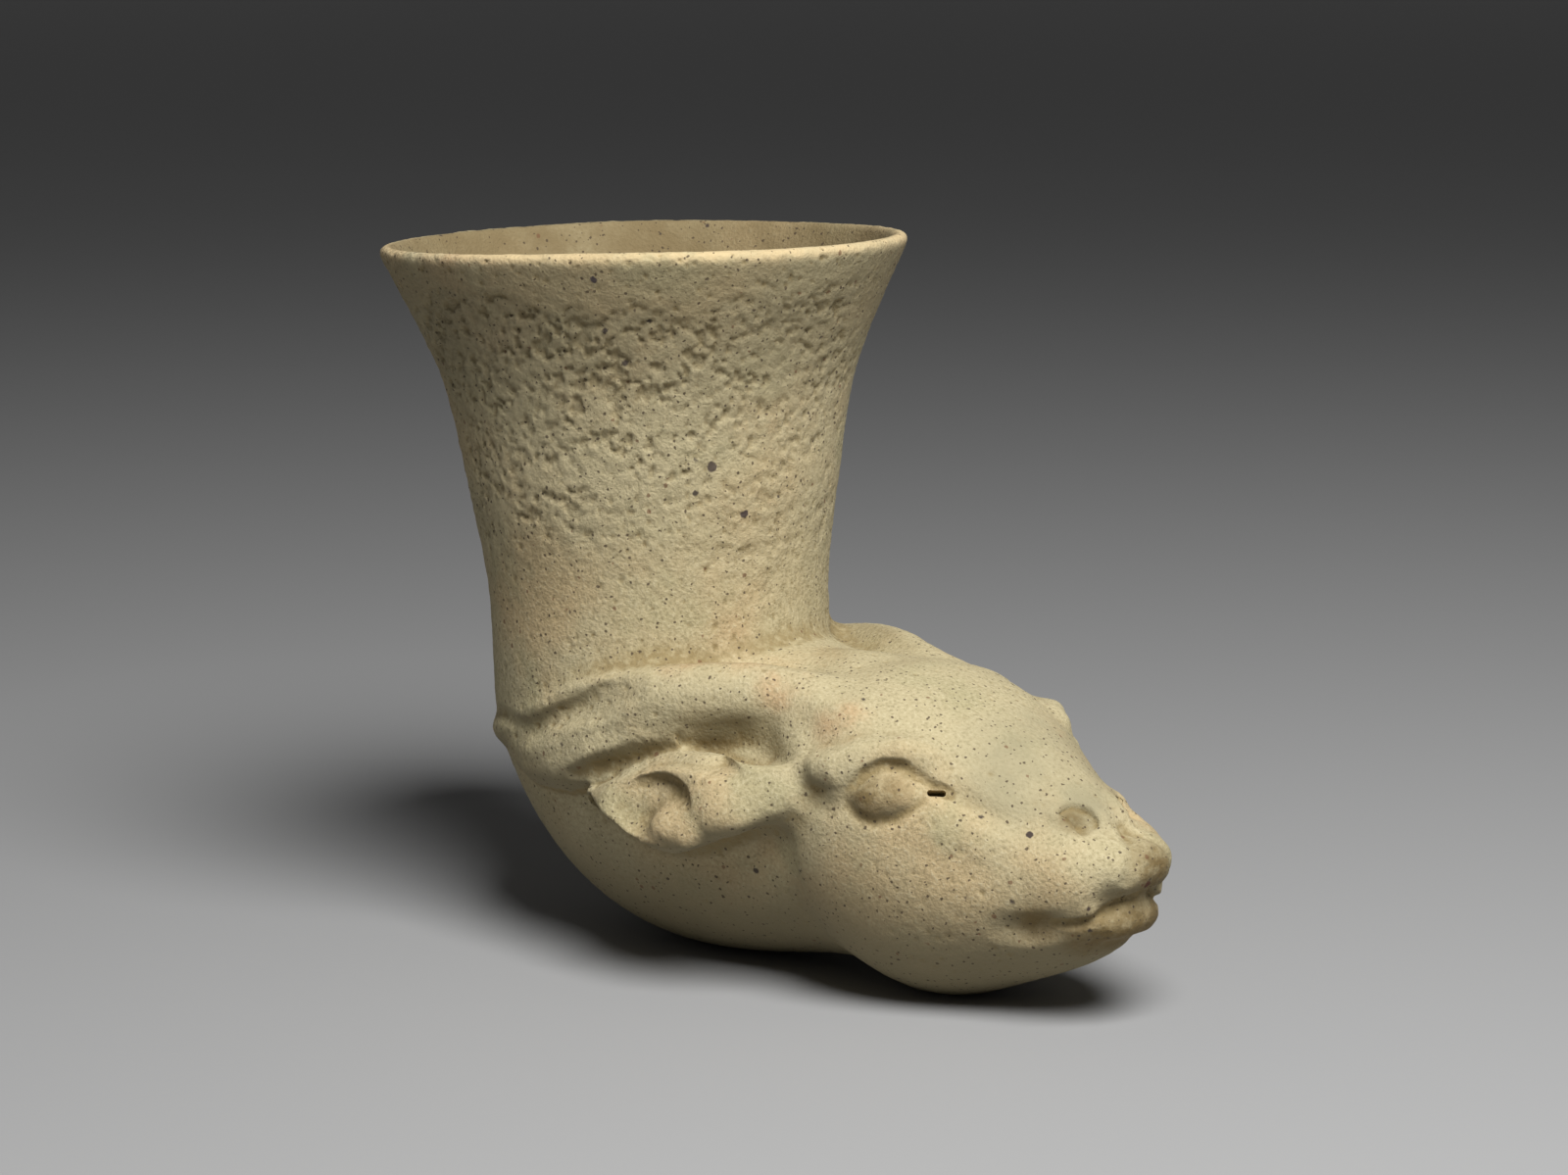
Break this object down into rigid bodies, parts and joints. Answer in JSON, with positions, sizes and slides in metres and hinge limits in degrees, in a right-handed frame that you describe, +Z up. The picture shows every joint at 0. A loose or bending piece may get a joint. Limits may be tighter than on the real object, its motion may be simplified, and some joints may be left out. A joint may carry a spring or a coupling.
{
  "type": "rhyton drinking cup",
  "caption": "Unglazed clay drinking cup: a flared beaker on a bent hollow neck that ends in a horned animal head, lying on its belly and jaw.",
  "frame": {"origin": "on the table, at the middle of the flat that the belly rests on", "axes": "+X towards the animal's muzzle, +Y towards its left side, +Z up through the beaker's mouth"},
  "size_m": [0.1986, 0.1164, 0.157],
  "materials": {
    "fired_clay": "unglazed, matte, gritty"
  },
  "bodies": {
    "root": {"beaker": "fired_clay", "elbow": "fired_clay", "head_right": "fired_clay", "head_left": "fired_clay", "right_eye": "fired_clay", "left_eye": "fired_clay", "right_brow": "fired_clay", "left_brow": "fired_clay", "right_horn": "fired_clay", "left_horn": "fired_clay", "right_ear": "fired_clay", "left_ear": "fired_clay", "right_ear_pellet": "fired_clay", "left_ear_pellet": "fired_clay", "right_nostril": "fired_clay", "left_nostril": "fired_clay", "nose_pad": "fired_clay", "lower_lip": "fired_clay"}
  },
  "joints": []
}
